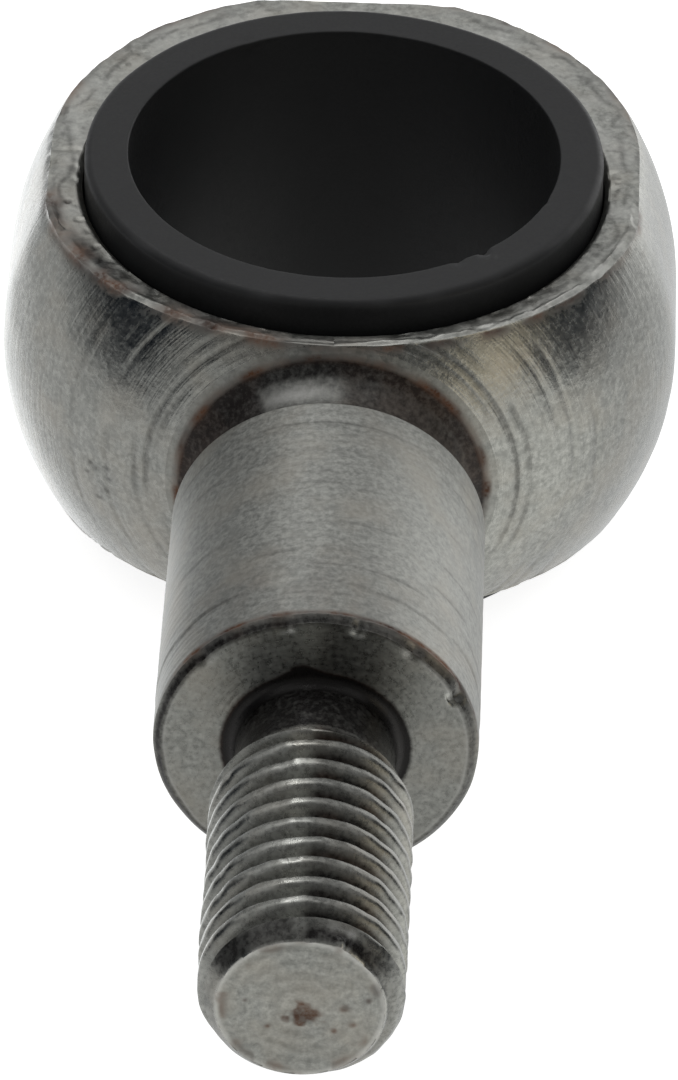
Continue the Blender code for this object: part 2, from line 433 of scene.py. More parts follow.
def flat_skin(skin, side):
    """The flats, the rear face and the bore, from the outline of one side."""
    right = side[::-1]
    left = side * [-1, 1]
    rear_half = side[0, 0]
    rear_x = np.linspace(-rear_half, rear_half, REAR_COLUMNS + 1)
    rear = np.column_stack([rear_x, np.full(len(rear_x), REAR_Y)])
    outline = joined(right, rear[::-1], left)
    polar = np.arctan2(outline[:, 1], outline[:, 0])
    circle = np.column_stack([np.cos(polar), np.sin(polar)])
    mouth = BORE_RADIUS + BORE_CHAMFER
    share = np.linspace(0, 1, FLAT_ROWS + 1)[:, None, None]
    plan = outline[None] * (1 - share) + (circle * mouth)[None] * share
    for height, flip in ((FLAT, False), (-FLAT, True)):
        level = np.full(plan.shape[:2] + (1,), height)
        skin.grid(np.concatenate([plan, level], axis=-1), SAWN, flip=flip)
    rib = RIB_HALF + RIB_SIDE_CLEARANCE
    half = joined(
        line((FLAT, mouth), (FLAT - BORE_CHAMFER, BORE_RADIUS)),
        line((FLAT - BORE_CHAMFER, BORE_RADIUS), (rib + RIB_HEIGHT, BORE_RADIUS), 0.8),
        line((rib + RIB_HEIGHT, BORE_RADIUS), (rib, BORE_RADIUS + RIB_HEIGHT), 0.3),
    )
    wall = np.vstack([half, half[::-1] * [-1, 1]])
    spread = wall[:, 1][:, None, None] * circle[None]
    level = np.broadcast_to(wall[:, 0][:, None, None], spread.shape[:2] + (1,))
    skin.grid(np.concatenate([spread, level], axis=-1), BORE)
    first = math.acos(FLAT / REAR_FACE_RADIUS)
    angle = first + (math.pi - 2 * first) * np.linspace(0, 1, COLUMNS + 1)
    flank = np.column_stack([np.sin(angle), np.cos(angle)]) * REAR_FACE_RADIUS
    across = np.column_stack([rear_x[::-1], np.full(len(rear_x), -FLAT)])
    rim = joined(flank, across, (flank * [-1, 1])[::-1], across * [-1, -1])
    inward = np.linspace(1, 0, REAR_ROWS + 1)[:, None, None]
    plan = rim[None] * inward
    level = np.full(plan.shape[:2] + (1,), REAR_Y)
    skin.grid(np.stack([plan[..., 0], level[..., 0], plan[..., 1]], axis=-1), FACED,
              flip=True)


# ---------------------------------------------------------------- wear of the bolt

class BoltPoints:
    """The bolt's points before wear, where each one lies and what part it is on.

    The from_ values are distances along +Y from that place, and edge is the distance
    inside the outline of the flats.
    """

    def __init__(self, points):
        self.points = points
        self.x, self.y, self.z = points.T
        self.radius = np.hypot(self.x, self.z)
        self.angle = np.arctan2(self.x, self.z)
        self.degrees = self.angle / DEGREE
        self.out = np.stack([np.sin(self.angle), 0 * self.angle, np.cos(self.angle)], axis=-1)
        self.from_neck = self.y - NECK_REAR[0]
        self.from_shoulder = self.y - SHOULDER_Y
        self.from_thread = self.y - THREAD_START_Y
        self.from_end = self.y - STUD_END_Y
        self.edge = eye_outline_distance(points)
        eye = self.from_neck > 0
        self.on_flat = eye & (np.abs(self.z) > FLAT - TINY)
        self.turned = eye & ~self.on_flat & (np.hypot(self.x, self.y) > OUTSIDE_BORE)
        self.on_side = self.radius > SHANK_SIDE_RADIUS
        self.shank = (self.y <= NECK_FRONT[0]) & (self.from_shoulder > 0.01) & self.on_side
        self.stud = self.from_thread < 0


def eye_outline_distance(points):
    """How far each point of a flat lies inside the flat's outline, near enough."""
    x, y, z = points.T
    centre = arc_centre((BAND_FRONT_Y, EYE_RADIUS), NECK_REAR, FRONT_ARC)
    rear_centre = arc_centre((REAR_Y, REAR_FACE_RADIUS), (BAND_REAR_Y, EYE_RADIUS), REAR_ARC)
    radius = np.hypot(x, z)
    front = FRONT_ARC - np.hypot(y - centre.x, radius - centre.y)
    rear = REAR_ARC - np.hypot(y - rear_centre.x, radius - rear_centre.y)
    return np.where(y < BAND_FRONT_Y, front,
                    np.where(y > BAND_REAR_Y, rear, EYE_RADIUS - radius))


def tool_step(points):
    """Where along Y the last cut of the shank stops: an uneven ring."""
    return SHOULDER_Y + TOOL_STEP + 0.35 * noise(points * [1, 0, 1], 2.6, 8)


def shank_line(points, at):
    """Where a line round the shank runs along Y, and how strong it is from 0 to 1."""
    bend = at + 0.12 * noise(points, 5.0, 13)
    broken = ramp(noise(points, 2.4, int(-at * 10)), -0.3, 0.4)
    return bend, broken


def turning_groove(points, at):
    """The radius at which a groove of the eye runs, and how strong it is from 0 to 1."""
    bend = at + 0.12 * noise(points, 4.0, 11)
    patchy = ramp(noise(points, 3.0, int(at * 10)), -0.6, 0.3)
    return bend, patchy


def wear_bolt(points):
    """Moves the bolt's points for wear; marks rust, dirt with painted shade, bare metal with
    painted highlights.
    """
    bolt = BoltPoints(points)
    turned_out, turned_along = turned_wear(bolt)
    flat_out, flat_rise = flat_wear(bolt)
    rim_out, rim_along = shoulder_wear(bolt)
    end_out, end_along = end_wear(bolt)
    moved = points + bolt.out * (turned_out + flat_out + rim_out + end_out)[:, None]
    moved[:, 1] += turned_along + rim_along + end_along
    moved[:, 2] += flat_rise
    return moved, bolt_marks(bolt)


def turned_wear(bolt):
    """Ridges, tool lines and grooves that come and go round the turned parts.

    Returns how far each point moves outward and along Y.
    """
    points, y = bolt.points, bolt.y
    streak = np.column_stack([np.sin(bolt.angle) * 2.2, y * 6, np.cos(bolt.angle) * 2.2])
    outward = np.where(bolt.shank, 0.010 * (noise(streak, 1.0, 3) - 1), 0)
    step = tool_step(points)
    fine = np.sin(y * 2 * math.pi / TOOL_FEED + 0.8 * noise(points, 3.0, 9))
    last_cut = ramp(y, step + 0.06, step - 0.06) * (0.006 * fine - 0.035)
    outward += np.where(bolt.shank, last_cut, 0)
    for at, depth in SHANK_LINES:
        bend, broken = shank_line(points, at)
        outward -= bolt.shank * depth * broken * hump(y, bend, 0.09)
    outward += np.where(bolt.turned, 0.015 * (noise(points, 1.2, 12) - 1), 0)
    along = 0 * y
    for at, depth, _ in TURNING_GROOVES:
        bend, patchy = turning_groove(points, at)
        groove = depth * hump(bolt.radius, bend, 0.11) * patchy
        along += np.where(bolt.turned & (y < EYE_FRONT_Y), groove, 0)
    return outward, along


def flat_wear(bolt):
    """Coarse grain and pits of the sawn flats, and the burr along their front edge.

    Returns how far each point moves outward and along Z.
    """
    points, x, y, z, edge = bolt.points, bolt.x, bolt.y, bolt.z, bolt.edge
    rise = 0.014 * (0.5 * noise(points, 0.35, 21) + noise(points, 1.3, 22) - 1.5)
    rise -= 0.06 * ramp(noise(points, 0.7, 23), 0.6, 0.85)
    for pit_x, pit_y in FLAT_PITS:
        rise -= 0.16 * hump(np.hypot(x - pit_x, y - pit_y), 0, 0.16)
    polar = np.arctan2(y, x)
    along_edge = np.column_stack([polar * 14, edge * 5, 0 * x])
    ragged = ramp(noise(along_edge, 1.1, 24) + 0.4 * noise(points, 0.3, 25), -0.55, 0.7)
    rise += 0.16 * ramp(y, 1.0, -4.0) * ragged * hump(edge, 0.25, 0.22)
    tuft = hump(polar / DEGREE, TUFT_ANGLE, 6) * (z > 0) * hump(edge, 0.15, 0.3)
    rise += 0.30 * tuft * ragged
    worn = (0.35 + 0.65 * ramp(y, -6, -2)) * (0.6 + 0.4 * noise(points, 0.6, 26))
    rise -= 0.16 * worn * hump(edge, 0, 0.32)
    chipped = ramp(noise(along_edge * [1, 0, 0] + [0, 0, 3], 0.7, 27), 0.1, 0.7)
    rise -= 0.12 * chipped * hump(np.hypot(x, y) - BORE_RADIUS, 0.3, 0.35)
    side = bolt.turned & (bolt.from_neck > 0.1)
    outward = np.where(side, -0.12 * worn * hump(FLAT - np.abs(z), 0, 0.4), 0)
    return outward, np.where(bolt.on_flat, np.sign(z) * rise, 0)


def shoulder_wear(bolt):
    """Dents and unevenness of the shoulder's edge, as moves outward and along Y."""
    rim = hump(bolt.from_shoulder, 0.1, 0.35) * ramp(bolt.radius, 7.0, 7.4)
    uneven = 0.05 * (noise(bolt.points, 1.1, 31) + 1)
    outward = -np.where(bolt.from_shoulder < 1, rim, 0) * uneven
    along = 0 * rim
    for at, size in SHOULDER_DENTS:
        dent = hump(bolt.degrees, at, 2.6) * rim * size
        outward -= dent
        along += dent * 0.7
    return outward, along


def end_wear(bolt):
    """Worn crests, a burr on the stud's end, and the turned rings of both end faces.

    Returns how far each point moves outward and along Y.
    """
    points, radius = bolt.points, bolt.radius
    crest = ramp(radius, THREAD_RADIUS - 0.25, THREAD_RADIUS) * bolt.stud
    outward = -0.05 * crest * (noise(points, 0.7, 41) + 1)
    burr = hump(radius, 4.15, 0.25) * hump(bolt.degrees, 24, 11) * ramp(bolt.from_end, 1.1, 0.4)
    outward += 0.22 * burr * (1 + 0.6 * noise(points, 0.3, 43))
    rings = np.sin(radius * 2 * math.pi / 0.8) * ramp(radius, 3.9, 3.4)
    face = 0.018 * (1 - rings) + 0.02 * (noise(points, 0.6, 42) + 1) + 0.12 * hump(radius, 0, 0.5)
    along = np.where(bolt.from_end < TINY, face, 0)
    rear = ramp(bolt.y, REAR_Y - 2e-3, REAR_Y - 1e-3) * ramp(radius, REAR_FACE_RADIUS, 9.5)
    rings = np.sin(radius * 2 * math.pi / 1.1 + 0.5 * noise(points, 3.0, 44))
    along -= rear * (0.02 * (1 - rings) + 0.015 * (noise(points, 0.9, 45) + 1))
    along -= 0.25 * rear * hump(radius, 0, 0.7)
    return outward, along


def bolt_marks(bolt):
    """How rusty each point is, how dark with dirt and painted shade, how bright with bare metal
    and painted highlights.
    """
    points, x, y, z = bolt.points, bolt.x, bolt.y, bolt.z
    radius, degrees, edge, on_flat = bolt.radius, bolt.degrees, bolt.edge, bolt.on_flat
    patch = ramp(noise(points, 1.0, 51), -0.6, 0.6)
    # The right of the thread's top: painted shade there, and rust in its valleys.
    rust_and_shade_side = ramp(degrees, -3, 6) * ramp(degrees, 75, 35)

    # The neck: rust along its rear edge, painted shade in its groove, and a painted reflection in
    # it.
    inside = ramp(radius, NECK_REACH + 0.3, NECK_REACH)
    in_neck = ramp(y - NECK_FRONT[0], -0.02, 0.1) * ramp(bolt.from_neck, 0.02, -0.08) * inside
    left_side = ramp(degrees, -24, -36)
    right_side = ramp(degrees, -5, 9)
    neck_top = ramp(bolt.from_neck, -0.8, -0.35)
    neck_edge = hump(bolt.from_neck, 0, 0.09) * inside
    neck_shade = np.maximum.reduce([0.97 * left_side, 0.80 * right_side, 0.95 * neck_top])
    glint = hump(degrees, -20, 12) * hump(bolt.from_neck, -1.15, 0.36) * ramp(radius, 8.2, 7.6)

    # The shank's end and the shoulder: painted dark reflection on the chamfer, painted shade in
    # the undercut and its fillet.
    shank_end = bolt.on_side * ramp(y, -29.0, -33.5) * hump(degrees, 0, 45)
    rim_side = ramp(degrees, -80, -45) * ramp(degrees, 100, 60)
    shoulder_rim = hump(bolt.from_shoulder, 0.48, 0.15) * ramp(radius, 7.4, 7.7)
    chamfer_shade = hump(bolt.from_shoulder, 0.13, 0.2) * ramp(radius, 7.35, 7.6)
    undercut_shade = ramp(bolt.from_shoulder, -0.05, -0.35) * ramp(bolt.from_thread, 0, 0.5)
    from_tip = radius - 0.45 * hump(degrees, -9, 9)
    fillet_shade_and_rust = ramp(from_tip, 4.8, 4.5) * hump(bolt.from_shoulder, -0.2, 0.6) * (radius < 6.5)
    fillet_rust = fillet_shade_and_rust * (1 - undercut_shade) * ramp(from_tip, 4.45, 4.7) * ramp(degrees, 80, 50)

    # The thread and the stud's end: painted shade on the right of the thread's top and in its
    # left valleys.
    above_end = ramp(bolt.from_end, 0.05, 0.2)
    valley = ramp(radius, 4.85, 4.35) * ramp(bolt.from_thread, 0.7, 0) * above_end
    thread = ramp(bolt.from_thread, 0.9, -0.1) * above_end
    face = ramp(bolt.from_end, 0.1, 0.02)
    end_dark = (ramp(degrees, 2, -8) * ramp(degrees, -75, -55) * ramp(radius, 4.0, 4.15)
                * ramp(bolt.from_end, 1.1, 0.8))
    end_bright = (hump(degrees, 30, 14) * ramp(bolt.from_end, 1.0, 0.8)
                  * ramp(radius, 4.05, 4.2) * ramp(noise(points, 0.4, 66), -0.2, 0.3))

    # The flats and the turned surface just below them.
    flat_edge = on_flat * hump(edge, 0.2, 0.5) * ramp(y, 3.0, -4.0)
    rear_edge = on_flat * hump(edge, 0, 0.3) * ramp(y, 3.0, 8.0)
    below_edge = bolt.turned * hump(FLAT - z, 0.1, 0.3) * ramp(y, 2.0, -5.0)
    ridge = on_flat * hump(edge, 0.3, 0.14) * ramp(y, 0.0, -4.0)

    rust = np.maximum.reduce([
        0.12 * in_neck * np.maximum(left_side, right_side),
        neck_edge * (0.35 + 0.65 * patch),
        shoulder_rim * rim_side * (0.5 + 0.5 * patch),
        0.35 * fillet_rust,
        0.25 * valley * patch * rust_and_shade_side * ramp(bolt.from_end, 1.1, 1.7),
        0.10 * shank_end * patch,
        0.75 * face * rust_spots(points),
        0.8 * flat_edge * patch * ramp(x, 3.0, -4.0),
        0.55 * rear_edge * patch,
        0.75 * below_edge * patch,
    ])
    # Dirt in grooves, pits and lines, and painted shade in the neck, undercut, fillet, chamfer,
    # thread and behind the burr.
    dark = np.maximum.reduce([
        in_neck * np.maximum(neck_shade, 0.42),
        chamfer_shade * (0.75 + 0.25 * ramp(degrees, 20, -30)),
        undercut_shade,
        1.4 * fillet_shade_and_rust,
        valley * (0.22 + 0.2 * ramp(degrees, -45, -15) + 0.58 * rust_and_shade_side),
        0.10 * shank_end,
        0.45 * rust_and_shade_side * thread,
        0.8 * end_dark,
        on_flat * flat_dirt_and_shadow(points, edge),
        0.7 * bolt.turned * groove_dirt(points),
        bolt.on_side * shank_dirt(points),
    ])
    # Bare metal, and painted highlights: the glint in the neck and the ring on the shoulder.
    bare_and_highlight = np.maximum.reduce([
        glint,
        0.7 * ridge * patch,
        0.35 * on_flat * patch,
        0.6 * face * ramp(radius, 3.7, 3.95),
        end_bright,
        0.5 * shoulder_highlight(y, radius, degrees),
    ])
    return {"rust": rust, "dark": dark, "bare_and_highlight": bare_and_highlight}


def rust_spots(points):
    """Rust in the middle of the stud's end, and a few specks beside it."""
    x, _, z = points.T
    rough = noise(points, 0.42, 53) + 0.6 * noise(points, 0.2, 57)
    middle = ramp(1 - np.hypot((x - 0.05) / 1.25, (z + 0.35) / 0.95) + 0.35 * rough, 0.15, 0.6)
    total = middle * ramp(rough, -0.7, 0.3)
    for at_x, at_z, size in END_SPECKS:
        away = np.hypot(x - at_x, z - at_z) + 0.08 * rough
        total = np.maximum(total, 0.75 * hump(away, 0, size))
    edge = hump(np.hypot(x, z), 3.75, 0.3) * ramp(noise(points, 0.6, 58), 0.0, 0.6)
    return np.maximum(total, 0.5 * edge)


def flat_dirt_and_shadow(points, edge):
    """Pits in the flats, the ragged line along their edge, and painted shadow behind the burr."""
    x, y, _ = points.T
    total = 0.35 * ramp(noise(points, 0.5, 54), 0.5, 0.8)
    for pit_x, pit_y in FLAT_PITS:
        total = np.maximum(total, hump(np.hypot(x - pit_x, y - pit_y), 0, 0.2))
    wander = edge - 0.75 - 0.35 * noise(points, 1.4, 55)
    line_dirt = hump(wander, 0, 0.13) * ramp(noise(points, 0.9, 59), -0.5, 0.3)
    shadow_behind_burr = hump(edge, 0.75, 0.45) * ramp(x, -2, -7) * ramp(y, -4, -7)
    total = np.maximum(total, 0.9 * shadow_behind_burr * ramp(noise(points, 0.8, 67), -0.7, 0.3))
    return np.maximum(total, 0.45 * line_dirt * ramp(np.abs(x), 3.0, 7.0))


def shank_dirt(points):
    """Dirt in the lines that the tool left round the shank."""
    x, y, z = points.T
    left = ramp(np.arctan2(x, z) / DEGREE, 25, -15)
    step_line = hump(y, tool_step(points), 0.13) * ramp(noise(points, 1.7, 56), -0.5, 0.4)
    total = (0.15 + 0.4 * left) * step_line
    for at, depth in SHANK_LINES:
        bend, broken = shank_line(points, at)
        total = np.maximum(total, 17 * depth * broken * hump(y, bend, 0.1))
    return total


def groove_dirt(points):
    """Dirt in the grooves and the pits on the front of the eye."""
    x, y, z = points.T
    radius = np.hypot(x, z)
    degrees = np.arctan2(x, z) / DEGREE
    total = 0 * x
    for at, _, dirt in TURNING_GROOVES:
        bend, patchy = turning_groove(points, at)
        total = np.maximum(total, dirt * hump(radius, bend, 0.15) * patchy)
    for at, at_y, size in EYE_PITS:
        away = np.hypot((degrees - at) * DEGREE * radius, y - at_y)
        away += 0.12 * noise(points, 0.3, 68)
        total = np.maximum(total, 0.8 * hump(away, 0, size))
    return total * (y < EYE_FRONT_Y)


def shoulder_highlight(y, radius, degrees):
    """A painted highlight ring just inside the shoulder's edge, at its right and left."""
    sides = np.maximum(ramp(degrees, 25, 45), ramp(degrees, -55, -75))
    return hump(radius, 7.45, 0.08) * hump(y, SHOULDER_Y, 0.1) * sides


# ---------------------------------------------------------------- bush

def bush_skin():
    """The bush: its section, from the rib over the rim to the bore, turned round +Z."""
    skin = Skin()
    rim = BUSH_OUTER - BUSH_EDGE
    lip = BUSH_BORE + BUSH_BORE_CHAMFER
    half = joined(
        line((0, BUSH_OUTER + RIB_HEIGHT), (RIB_HALF, BUSH_OUTER + RIB_HEIGHT), 0.7),
        line((RIB_HALF, BUSH_OUTER + RIB_HEIGHT), (RIB_HALF + RIB_HEIGHT, BUSH_OUTER), 0.3),
        line((RIB_HALF + RIB_HEIGHT, BUSH_OUTER), (BUSH_HALF - BUSH_EDGE, BUSH_OUTER), 0.25),
        arc((BUSH_HALF - BUSH_EDGE, BUSH_OUTER), (BUSH_HALF, rim), -BUSH_EDGE, 0.07),
        line((BUSH_HALF, rim), (BUSH_HALF, lip), 0.12),
        arc((BUSH_HALF, lip), (BUSH_HALF - BUSH_BORE_CHAMFER, BUSH_BORE),
            -1.3 * BUSH_BORE_CHAMFER, 0.06),
        line((BUSH_HALF - BUSH_BORE_CHAMFER, BUSH_BORE), (0, BUSH_BORE), 0.3),
    )
    ring = joined(half, half[::-1] * [-1, 1])
    turn = np.linspace(0, 2 * math.pi, RING_STEPS + 1)[None, :]
    spread = ring[:, 1:]
    height = ring[:, :1] + 0 * turn
    skin.grid(np.stack([spread * np.cos(turn), spread * np.sin(turn), height], axis=-1), 0)
    return skin


def away_from(x, y, radius, angle):
    """How far points are from the place at this radius and angle round +Z."""
    return np.hypot(x - radius * math.cos(angle * DEGREE), y - radius * math.sin(angle * DEGREE))


def wear_bush(points):
    """Moves the bush's points for dents in its rim, and marks its faces, scuffs and a painted
    highlight on the rim's edge.
    """
    x, y, z = points.T
    spread = np.hypot(x, y)
    outward = np.stack([x, y, 0 * z], axis=-1) / spread[:, None]
    moved = points.copy()
    top = ramp(z, BUSH_HALF - 0.6, BUSH_HALF - 0.1)
    bottom = ramp(z, 0.6 - BUSH_HALF, 0.1 - BUSH_HALF)
    wave = 0.018 * (noise(points, 2.6, 61) + 1) + 0.008 * (noise(points, 0.5, 62) + 1)
    moved[:, 2] -= (top - bottom) * wave
    outer = spread > BUSH_MIDDLE
    moved -= outward * (outer * 0.02 * (noise(points, 1.5, 63) + 1))[:, None]
    for at, size in BUSH_DENTS:
        dent = top * size * hump(away_from(x, y, BUSH_DENT_RADIUS, at), 0, 0.3)
        moved[:, 2] -= dent
        moved += outward * (0.9 * dent)[:, None]
    nick = hump(away_from(x, y, NICK_RADIUS, NICK_ANGLE), 0, 0.55)
    specks = nick * ramp(noise(points, 0.22, 64), 0.1, 0.5)
    # A painted highlight along the upper rim's outer edge.
    edge = hump(spread, BUSH_OUTER - 0.12, 0.12) * top * ramp(noise(points, 1.2, 65), -0.4, 0.8)
    inside = 0.4 * (spread < BUSH_BORE + BUSH_BORE_CHAMFER)
    face = np.maximum.reduce([top, bottom, inside])
    return moved, {"face": face, "scuff_and_edge_highlight": np.maximum(top * specks, 0.5 * edge)}


# ---------------------------------------------------------------- materials

class Looks:
    """Builds one material's nodes."""

    def __init__(self, name):
        self.material = bpy.data.materials.new(name)
        self.material.use_nodes = True
        self.tree = self.material.node_tree
        self.surface = self.tree.nodes["Principled BSDF"]
        place = self.add("ShaderNodeTexCoord")
        self.place = self.vector("SCALE", place.outputs["Object"], scale=1 / MM)

    def add(self, kind, settings=None, inputs=None):
        node = self.tree.nodes.new(kind)
        for name, value in (settings or {}).items():
            setattr(node, name, value)
        for name, value in (inputs or {}).items():
            self.join(value, node.inputs[name])
        return node

    def join(self, value, socket):
        if isinstance(value, bpy.types.NodeSocket):
            self.tree.links.new(value, socket)
        else:
            socket.default_value = value

    def vector(self, operation, first, second=None, scale=None):
        node = self.add("ShaderNodeVectorMath", {"operation": operation}, {0: first})
        if second is not None:
            self.join(second, node.inputs[1])
        if scale is not None:
            node.inputs["Scale"].default_value = scale
        return node.outputs["Vector"]

    def math(self, operation, first, second=0.0, clamp=False):
        node = self.add("ShaderNodeMath", {"operation": operation, "use_clamp": clamp},
                        {0: first, 1: second})
        return node.outputs[0]

    def mark(self, name):
        """The value that a mesh holds for this mark at each point."""
        return self.add("ShaderNodeAttribute", {"attribute_name": name}).outputs["Fac"]

    def noise(self, place, scale, detail=3.0, roughness=0.55):
        node = self.add("ShaderNodeTexNoise", None,
                        {"Vector": place, "Scale": scale, "Detail": detail,
                         "Roughness": roughness})
        return node.outputs["Fac"]

    def between(self, value, low, high, to_low=0.0, to_high=1.0):
        """Stretches low..high to to_low..to_high, and holds it beyond."""
        node = self.add("ShaderNodeMapRange", {"clamp": True},
                        {"Value": value, "From Min": low, "From Max": high,
                         "To Min": to_low, "To Max": to_high})
        return node.outputs["Result"]

    def mix(self, share, first, second):
        node = self.add("ShaderNodeMix", {"data_type": "RGBA"},
                        {"Factor": share, MIX_FIRST: first, MIX_SECOND: second})
        return node.outputs[MIX_RESULT]

    def bumps(self, *layers):
        """Stacks bump layers of (height, strength, distance in millimetres)."""
        normal = None
        for height, strength, depth in layers:
            node = self.add("ShaderNodeBump", None,
                            {"Height": height, "Strength": strength,
                             "Distance": depth * MM})
            if normal is not None:
                self.join(normal, node.inputs["Normal"])
            normal = node.outputs["Normal"]
        self.join(normal, self.surface.inputs["Normal"])

    def set(self, **values):
        for name, value in values.items():
            self.join(value, self.surface.inputs[name.replace("_", " ")])


def around(looks, tightness, spin):
    """A place that streaks round the shank's axis: fine along Y, long round it."""
    parts = looks.add("ShaderNodeSeparateXYZ", None, {0: looks.place})
    flat = looks.add("ShaderNodeCombineXYZ", None,
                     {"X": parts.outputs["X"], "Z": parts.outputs["Z"]}).outputs[0]
    radius = looks.add("ShaderNodeVectorMath", {"operation": "LENGTH"}, {0: flat})
    direction = looks.vector("NORMALIZE", flat)
    spun = looks.vector("SCALE", direction, scale=spin)
    run = looks.math("ADD", looks.math("MULTIPLY", parts.outputs["Y"], tightness),
                     looks.math("MULTIPLY", radius.outputs["Value"], tightness))
    lift = looks.add("ShaderNodeCombineXYZ", None, {"Y": run}).outputs[0]
    return looks.vector("ADD", spun, lift)


def tinted(tone, tint):
    """The colour of a steel of this tone."""
    return tuple(tone * factor for factor in tint) + (1,)


def steel(name, tone, roughness, turning, grain, anisotropy):
    """Turned steel that the marks make rusty, dark with dirt and painted shade, or bright with
    bare metal and painted highlights.
    """
    looks = Looks(name)
    fine = looks.noise(around(looks, 5.0, 1.6), 1.0, 4.0, 0.6)
    coarse = looks.noise(around(looks, 1.3, 0.9), 1.0, 3.0)
    speckle = looks.noise(looks.place, 3.2, 4.0, 0.65)
    cloud = looks.noise(looks.place, 0.35, 3.0)
    blotch = looks.noise(looks.place, 1.3, 3.0, 0.6)
    dull = tinted(tone, DULL)
    colour = looks.mix(looks.between(speckle, 0.35, 0.65), dull, tinted(tone, BRIGHT))
    colour = looks.mix(looks.between(fine, 0.3, 0.7, 0.0, 0.5 * turning), colour, dull)
    colour = looks.mix(looks.between(blotch, 0.52, 0.68, 0.0, 0.45), colour, dull)
    colour = looks.mix(looks.between(cloud, 0.45, 0.75, 0.0, 0.5), colour, tinted(tone, WARM))
    rust_share = looks.math("MULTIPLY", looks.mark("rust"),
                            looks.between(speckle, 0.3, 0.6, 0.45, 1.25), clamp=True)
    dark_share = looks.math("MULTIPLY", looks.mark("dark"),
                            looks.between(speckle, 0.3, 0.7, 1.15, 0.8), clamp=True)
    # Bare metal and painted highlights lighten the steel; dirt and painted shade darken it.
    colour = looks.mix(looks.mark("bare_and_highlight"), colour, tinted(tone, BARE_AND_HIGHLIGHT))
    colour = looks.mix(dark_share, colour, DIRT_AND_SHADE)
    rust = looks.mix(looks.between(cloud, 0.4, 0.6), RUST_DEEP, RUST_PALE)
    colour = looks.mix(rust_share, colour, rust)
    cover = looks.math("MAXIMUM", rust_share, looks.math("MULTIPLY", dark_share, 0.6))
    metal = looks.between(cover, 0.1, 0.9, 1.0, 0.25)
    own_roughness = looks.between(speckle, 0.3, 0.7, roughness - 0.05, roughness + 0.08)
    rust_roughness = looks.math("MULTIPLY", rust_share, 0.3)
    rough = looks.math("ADD", own_roughness, rust_roughness, clamp=True)
    looks.set(Base_Color=colour, Metallic=metal, Roughness=rough,
              Anisotropic=anisotropy, Anisotropic_Rotation=0.25)
    across = looks.vector("CROSS_PRODUCT", (0, 1, 0), looks.place)
    tangent = looks.add("ShaderNodeVectorTransform",
                        {"vector_type": "VECTOR", "convert_from": "OBJECT",
                         "convert_to": "WORLD"}, {0: across})
    looks.join(looks.vector("NORMALIZE", tangent.outputs[0]),
               looks.surface.inputs["Tangent"])
    looks.bumps((coarse, 0.5 * turning, 0.05), (fine, turning, 0.035),
                (speckle, grain, 0.05))
    return looks.material


def plastic(name):
    """Dull black plastic, a little shinier on the faces, pale where scuffed and in a painted
    highlight on the rim's edge.
    """
    looks = Looks(name)
    grain = looks.noise(looks.place, 5.0, 4.0, 0.6)
    cloud = looks.noise(looks.place, 0.5, 3.0)
    colour = looks.mix(looks.between(grain, 0.3, 0.7), PLASTIC_DARK, PLASTIC_LIGHT)
    colour = looks.mix(looks.between(cloud, 0.4, 0.7, 0.0, 0.35), colour, PLASTIC_CLOUD)
    face = looks.mark("face")
    colour = looks.mix(looks.math("MULTIPLY", face, 0.45), colour, PLASTIC_FACE)
    colour = looks.mix(looks.mark("scuff_and_edge_highlight"), colour, PLASTIC_SCUFF_AND_HIGHLIGHT)
    looks.set(Base_Color=colour, Roughness=looks.between(grain, 0.3, 0.7, 0.42, 0.58),
              Specular_IOR_Level=looks.between(face, 0.0, 1.0, 0.10, 0.34))
    looks.bumps((grain, 0.35, 0.02), (cloud, 0.2, 0.05))
    return looks.material


# ---------------------------------------------------------------- building

def build_bolt():
    skin = Skin()
    eye, shank, shoulder = turned_runs()
    outline = turned_sides(skin, eye, EYE)
    turned_sides(skin, shank, SHANK)
    turned_sides(skin, shoulder, SHOULDER)
    thread_skin(skin)
    flat_skin(skin, outline)
    points, faces, kinds = skin.weld()
    moved, marks = wear_bolt(points)
    materials = [steel(*finish) for finish in STEELS]
    bolt = make_mesh("eye_bolt_steel", moved, faces, kinds, materials, marks)
    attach(bolt, "rod_end")
    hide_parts("eye_bolt")


def build_bush():
    points, faces, kinds = bush_skin().weld()
    moved, marks = wear_bush(points)
    bush = make_mesh("bush_sleeve", moved, faces, kinds, [plastic("plastic_matte")], marks)
    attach(bush, "bush")
    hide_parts("bearing_bush")


# ---------------------------------------------------------------- floor, light, camera

def build_floor():
    """A pale floor just below the part, unseen in reflections and by bounced light."""
    looks = Looks("floor_white")
    looks.set(Base_Color=(0.8, 0.8, 0.8, 1), Roughness=0.9, Specular_IOR_Level=0.1,
              Emission_Color=(1, 1, 1, 1), Emission_Strength=0.85)
    level = cad_low.z - FLOOR_GAP
    half = FLOOR_HALF
    mesh = bpy.data.meshes.new("floor")
    corners = [(-half, -half, level), (half, -half, level), (half, half, level),
               (-half, half, level)]
    mesh.from_pydata(corners, [], [(0, 1, 2, 3)])
    mesh.materials.append(looks.material)
    floor = bpy.data.objects.new("floor", mesh)
    floor.visible_glossy = False
    floor.visible_diffuse = False
    bpy.context.scene.collection.objects.link(floor)


def add_light(name, place, target, width, height, power):
    """A rectangular lamp at a place in metres, turned towards the target."""
    data = bpy.data.lights.new(name, "AREA")
    data.shape = "RECTANGLE"
    data.size = width
    data.size_y = height
    data.energy = power
    light = bpy.data.objects.new(name, data)
    light.location = Vector(place)
    aim = Vector(target) - light.location
    light.rotation_euler = aim.to_track_quat("-Z", "Y").to_euler()
    bpy.context.scene.collection.objects.link(light)


def grey(level):
    return (level, level, level, 1)


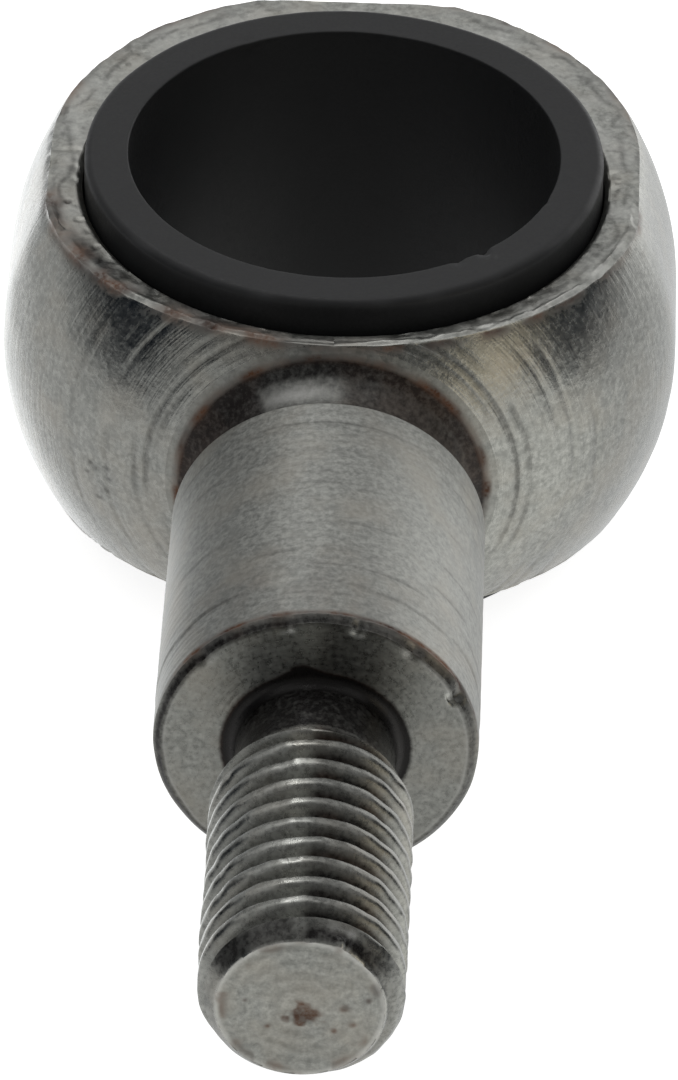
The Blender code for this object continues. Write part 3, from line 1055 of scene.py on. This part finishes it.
def build_light():
    """The surroundings that the steel reflects, and two lamps."""
    world = bpy.data.worlds.new("studio")
    bpy.context.scene.world = world
    world.use_nodes = True
    nodes = world.node_tree.nodes
    links = world.node_tree.links
    place = nodes.new("ShaderNodeTexCoord").outputs["Generated"]
    parts = nodes.new("ShaderNodeSeparateXYZ")
    links.new(place, parts.inputs[0])
    height = nodes.new("ShaderNodeMapRange")
    height.inputs["From Min"].default_value = -1
    links.new(parts.outputs["Z"], height.inputs["Value"])
    shade = nodes.new("ShaderNodeValToRGB")
    links.new(height.outputs["Result"], shade.inputs[0])
    stops = shade.color_ramp.elements
    stops[0].color = grey(HEIGHT_SHADES[0][1])
    stops[1].color = grey(HEIGHT_SHADES[-1][1])
    for level, brightness in HEIGHT_SHADES[1:-1]:
        along_ramp = (level + 1) / 2
        stops.new(along_ramp).color = grey(brightness)
    colour = shade.outputs[0]
    for direction, outer, inner, patch in SKY_PATCHES:
        towards = nodes.new("ShaderNodeVectorMath")
        towards.operation = "DOT_PRODUCT"
        links.new(place, towards.inputs[0])
        towards.inputs[1].default_value = Vector(direction).normalized()
        share = nodes.new("ShaderNodeMapRange")
        share.interpolation_type = "SMOOTHSTEP"
        share.inputs["From Min"].default_value = math.cos(outer * DEGREE)
        share.inputs["From Max"].default_value = math.cos(inner * DEGREE)
        links.new(towards.outputs["Value"], share.inputs["Value"])
        mix = nodes.new("ShaderNodeMix")
        mix.data_type = "RGBA"
        links.new(share.outputs["Result"], mix.inputs["Factor"])
        links.new(colour, mix.inputs[MIX_FIRST])
        mix.inputs[MIX_SECOND].default_value = patch
        colour = mix.outputs[MIX_RESULT]
    links.new(colour, nodes["Background"].inputs[0])
    add_light("strip_left", place=(-0.19, 0.30, 0.72), target=(-0.19, -0.03, 0),
              width=0.03, height=1.0, power=0.5)
    add_light("soft_top", place=(-0.05, 0.25, 0.8), target=(0, -0.02, 0),
              width=0.45, height=0.45, power=0.55)


def build_camera():
    """The camera, aimed at a point on the part's middle plane, with a slight roll."""
    elevation = 36.7116 * DEGREE
    yaw = 1.2788 * DEGREE
    roll = 1.1693 * DEGREE
    distance = 0.50047
    aim = Vector((0.5612, -19.3701, 0)) * MM
    back = Vector((math.sin(yaw) * math.cos(elevation),
                   -math.cos(yaw) * math.cos(elevation), math.sin(elevation)))
    level = Vector((math.cos(yaw), math.sin(yaw), 0))
    rise = back.cross(level)
    right = level * math.cos(roll) + rise * math.sin(roll)
    up = rise * math.cos(roll) - level * math.sin(roll)
    data = bpy.data.cameras.new("camera")
    data.sensor_width = 36
    data.lens = 333.98
    data.clip_start = 0.01
    camera = bpy.data.objects.new("camera", data)
    camera.matrix_world = Matrix((right, up, back)).transposed().to_4x4()
    camera.location = aim + back * distance
    bpy.context.scene.collection.objects.link(camera)
    bpy.context.scene.camera = camera


build_bolt()
build_bush()
build_floor()
build_light()
build_camera()
bpy.context.scene.view_settings.view_transform = "Standard"
bpy.context.view_layer.update()
